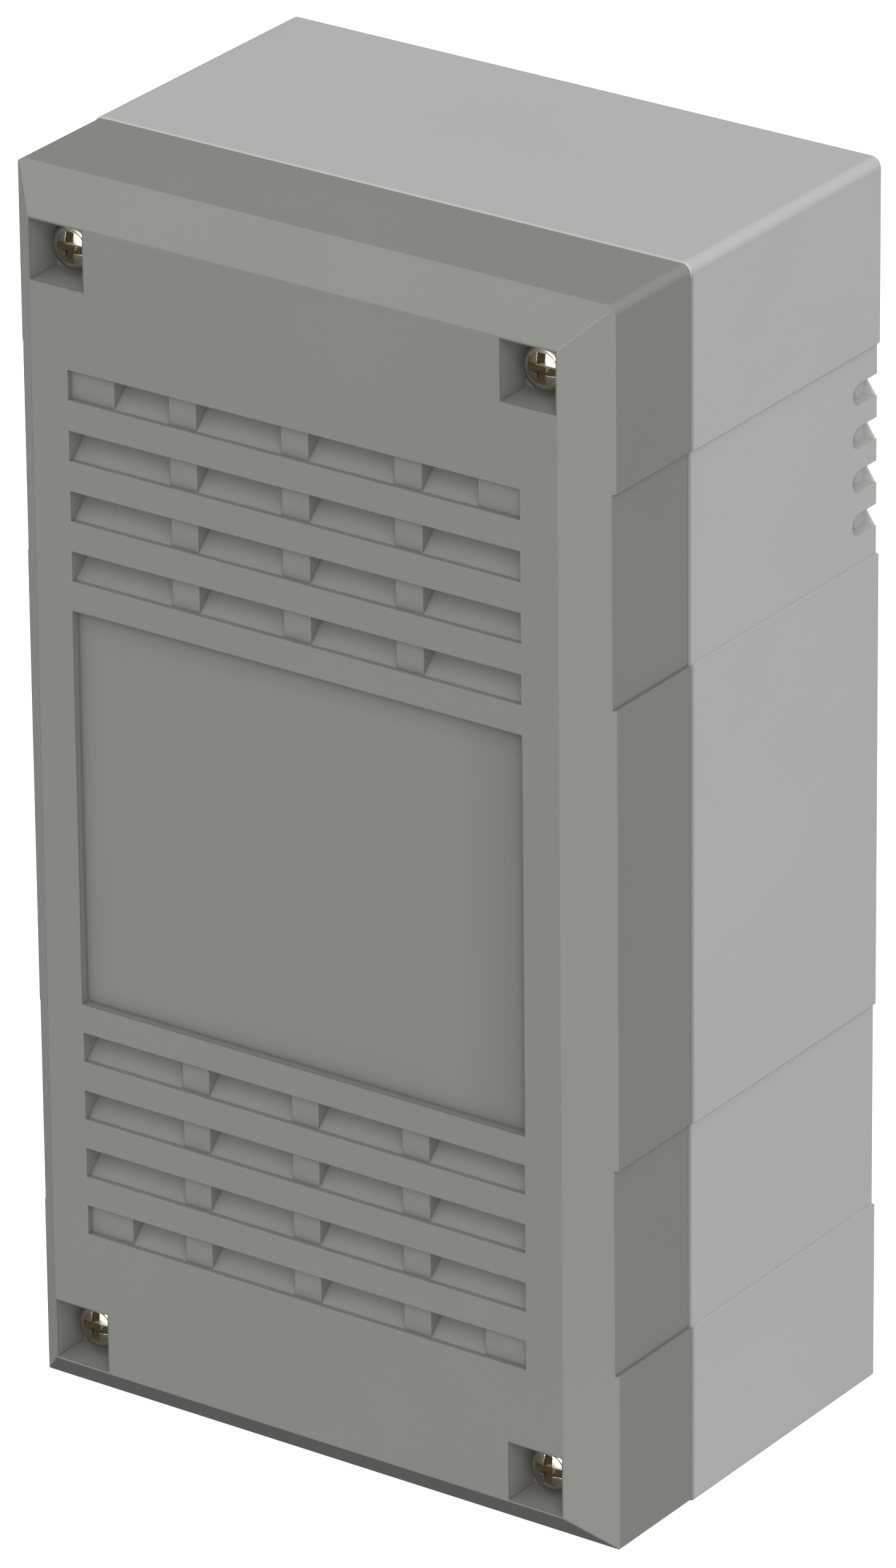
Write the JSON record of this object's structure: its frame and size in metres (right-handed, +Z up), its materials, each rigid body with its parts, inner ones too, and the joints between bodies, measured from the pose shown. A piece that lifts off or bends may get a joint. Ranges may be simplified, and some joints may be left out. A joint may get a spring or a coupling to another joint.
{
  "type": "louvred switchboard enclosure",
  "caption": "Tall grey plastic wall box with a bevelled, louvred screw-on lid, a recessed blank label field and a rail of terminals and hinged fuse carriers inside.",
  "frame": {"origin": "middle of the bounding box's bottom face; the box stands on its bottom wall", "axes": "+Z up along the long side, -Y out of the lid, +Y into the wall, +X to the right seen from the front"},
  "size_m": [0.11, 0.0774, 0.207],
  "materials": {
    "base_plastic": "fine matte moulding texture",
    "lid_plastic": "fine matte moulding texture",
    "label_plastic": "matte",
    "screw_metal": "dark nickel, turned",
    "washer_nylon": "natural nylon",
    "brass": "machined",
    "grommet_rubber": "matte",
    "rail_steel": "zinc plated",
    "rail_screw_steel": "zinc plated",
    "terminal_plastic": "polyamide, satin",
    "earth_plastic": "polyamide, green with yellow",
    "fuse_plastic": "polyamide, satin",
    "lever_plastic": "polyamide, satin",
    "fuse_cap_metal": "nickel caps on a glass tube",
    "stop_plastic": "polyamide, satin",
    "clamp_steel": "zinc plated",
    "contact_copper": "tinned copper"
  },
  "bodies": {
    "base": {"base_shell": "base_plastic", "threaded_inserts": "brass", "cable_grommet_left": "grommet_rubber", "cable_grommet_right": "grommet_rubber", "din_rail": "rail_steel", "rail_screws": "rail_screw_steel", "end_stop_left": "stop_plastic", "end_stop_right": "stop_plastic", "end_stop_screws": "rail_screw_steel", "terminal_block_1": "terminal_plastic", "terminal_block_2": "terminal_plastic", "terminal_block_3": "terminal_plastic", "terminal_block_4": "terminal_plastic", "terminal_block_5": "terminal_plastic", "terminal_block_6": "terminal_plastic", "earth_terminal": "earth_plastic", "fuse_base_1": "fuse_plastic", "fuse_base_2": "fuse_plastic", "fuse_contacts": "contact_copper", "partition_plate": "stop_plastic", "end_cover_plate": "stop_plastic", "clamp_cages": "clamp_steel", "clamp_screws": "clamp_steel", "current_bars": "contact_copper"},
    "lid": {"lid_cover": "lid_plastic", "label_plate": "label_plastic"},
    "washer_top_left": {"screw_washer_top_left": "washer_nylon"},
    "screw_top_left": {"lid_screw_top_left": "screw_metal"},
    "washer_top_right": {"screw_washer_top_right": "washer_nylon"},
    "screw_top_right": {"lid_screw_top_right": "screw_metal"},
    "washer_bottom_left": {"screw_washer_bottom_left": "washer_nylon"},
    "screw_bottom_left": {"lid_screw_bottom_left": "screw_metal"},
    "washer_bottom_right": {"screw_washer_bottom_right": "washer_nylon"},
    "screw_bottom_right": {"lid_screw_bottom_right": "screw_metal"},
    "fuse_carrier_1": {"fuse_lever_1": "lever_plastic", "cartridge_fuse_1": "fuse_cap_metal"},
    "fuse_carrier_2": {"fuse_lever_2": "lever_plastic", "cartridge_fuse_2": "fuse_cap_metal"}
  },
  "joints": [
    {"name": "lid_slide", "type": "slide", "parent": "base", "child": "lid", "axis": [0, -1, 0], "range_m": [0, 0.08]},
    {"name": "screw_withdraw_top_left", "type": "slide", "parent": "lid", "child": "washer_top_left", "axis": [0, -1, 0], "range_m": [0, 0.0105]},
    {"name": "screw_turn_top_left", "type": "hinge", "parent": "washer_top_left", "child": "screw_top_left", "pos_m": [-0.0433, -0.0328, 0.1952], "axis": [0, -1, 0], "range_deg": [0, 5400]},
    {"name": "screw_withdraw_top_right", "type": "slide", "parent": "lid", "child": "washer_top_right", "axis": [0, -1, 0], "range_m": [0, 0.0105]},
    {"name": "screw_turn_top_right", "type": "hinge", "parent": "washer_top_right", "child": "screw_top_right", "pos_m": [0.0433, -0.0328, 0.1952], "axis": [0, -1, 0], "range_deg": [0, 5400]},
    {"name": "screw_withdraw_bottom_left", "type": "slide", "parent": "lid", "child": "washer_bottom_left", "axis": [0, -1, 0], "range_m": [0, 0.0105]},
    {"name": "screw_turn_bottom_left", "type": "hinge", "parent": "washer_bottom_left", "child": "screw_bottom_left", "pos_m": [-0.0433, -0.0328, 0.0118], "axis": [0, -1, 0], "range_deg": [0, 5400]},
    {"name": "screw_withdraw_bottom_right", "type": "slide", "parent": "lid", "child": "washer_bottom_right", "axis": [0, -1, 0], "range_m": [0, 0.0105]},
    {"name": "screw_turn_bottom_right", "type": "hinge", "parent": "washer_bottom_right", "child": "screw_bottom_right", "pos_m": [0.0433, -0.0328, 0.0118], "axis": [0, -1, 0], "range_deg": [0, 5400]},
    {"name": "fuse_lever_1_swing", "type": "hinge", "parent": "base", "child": "fuse_carrier_1", "pos_m": [-0.0282, -0.0067, 0.1155], "axis": [-1, 0, 0], "range_deg": [0, 90]},
    {"name": "fuse_lever_2_swing", "type": "hinge", "parent": "base", "child": "fuse_carrier_2", "pos_m": [-0.0182, -0.0067, 0.1155], "axis": [-1, 0, 0], "range_deg": [0, 90]}
  ],
  "couplings": [
    {"joint": "screw_withdraw_top_left", "follows": "screw_turn_top_left", "m_per_rad": 0.00011141},
    {"joint": "screw_withdraw_top_right", "follows": "screw_turn_top_right", "m_per_rad": 0.00011141},
    {"joint": "screw_withdraw_bottom_left", "follows": "screw_turn_bottom_left", "m_per_rad": 0.00011141},
    {"joint": "screw_withdraw_bottom_right", "follows": "screw_turn_bottom_right", "m_per_rad": 0.00011141}
  ]
}
